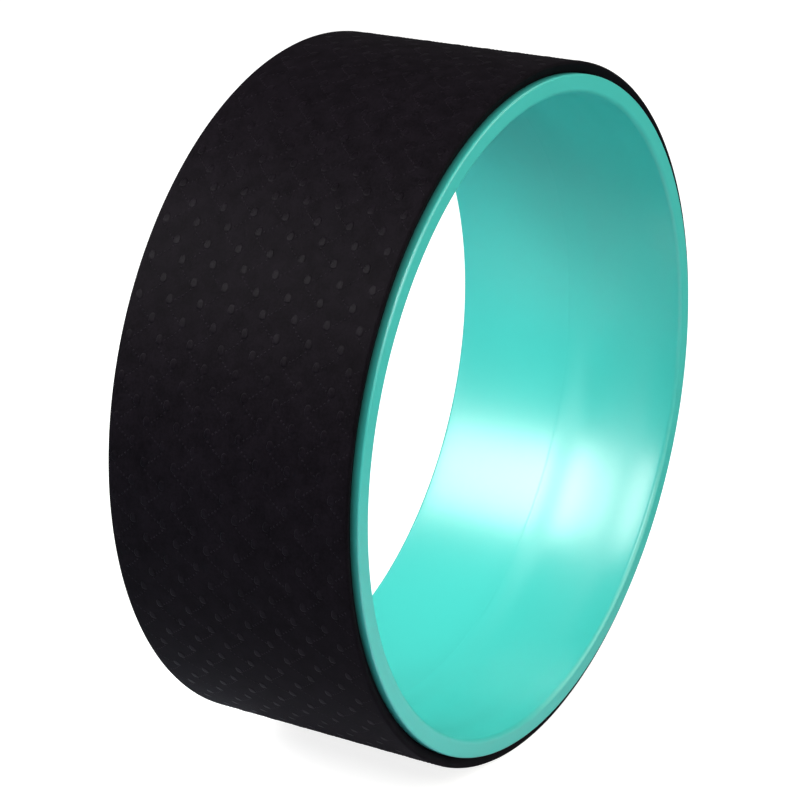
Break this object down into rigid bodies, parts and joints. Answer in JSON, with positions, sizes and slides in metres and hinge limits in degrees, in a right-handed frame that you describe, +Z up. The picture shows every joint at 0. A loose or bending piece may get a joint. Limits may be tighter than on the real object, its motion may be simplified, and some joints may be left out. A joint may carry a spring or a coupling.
{
  "type": "yoga wheel",
  "caption": "Wide plastic hoop with a black embossed foam pad bonded round its tread, used to roll and support the back in stretching exercises.",
  "frame": {"origin": "centre of the wheel", "axes": "+Y along the wheel's axis towards the rear rim, +Z up; the wheel stands on its tread, and the rim that the picture shows faces -Y"},
  "size_m": [0.33, 0.127, 0.3295],
  "materials": {
    "hoop_plastic": "glossy turquoise moulded plastic",
    "adhesive": "clear to pale yellow adhesive film",
    "pad_foam": "matte black closed-cell foam, fine grain, raised dots joined by stitch-like zigzag lines"
  },
  "bodies": {
    "root": {"hoop": "hoop_plastic", "adhesive_film": "adhesive", "pad": "pad_foam"}
  },
  "joints": []
}
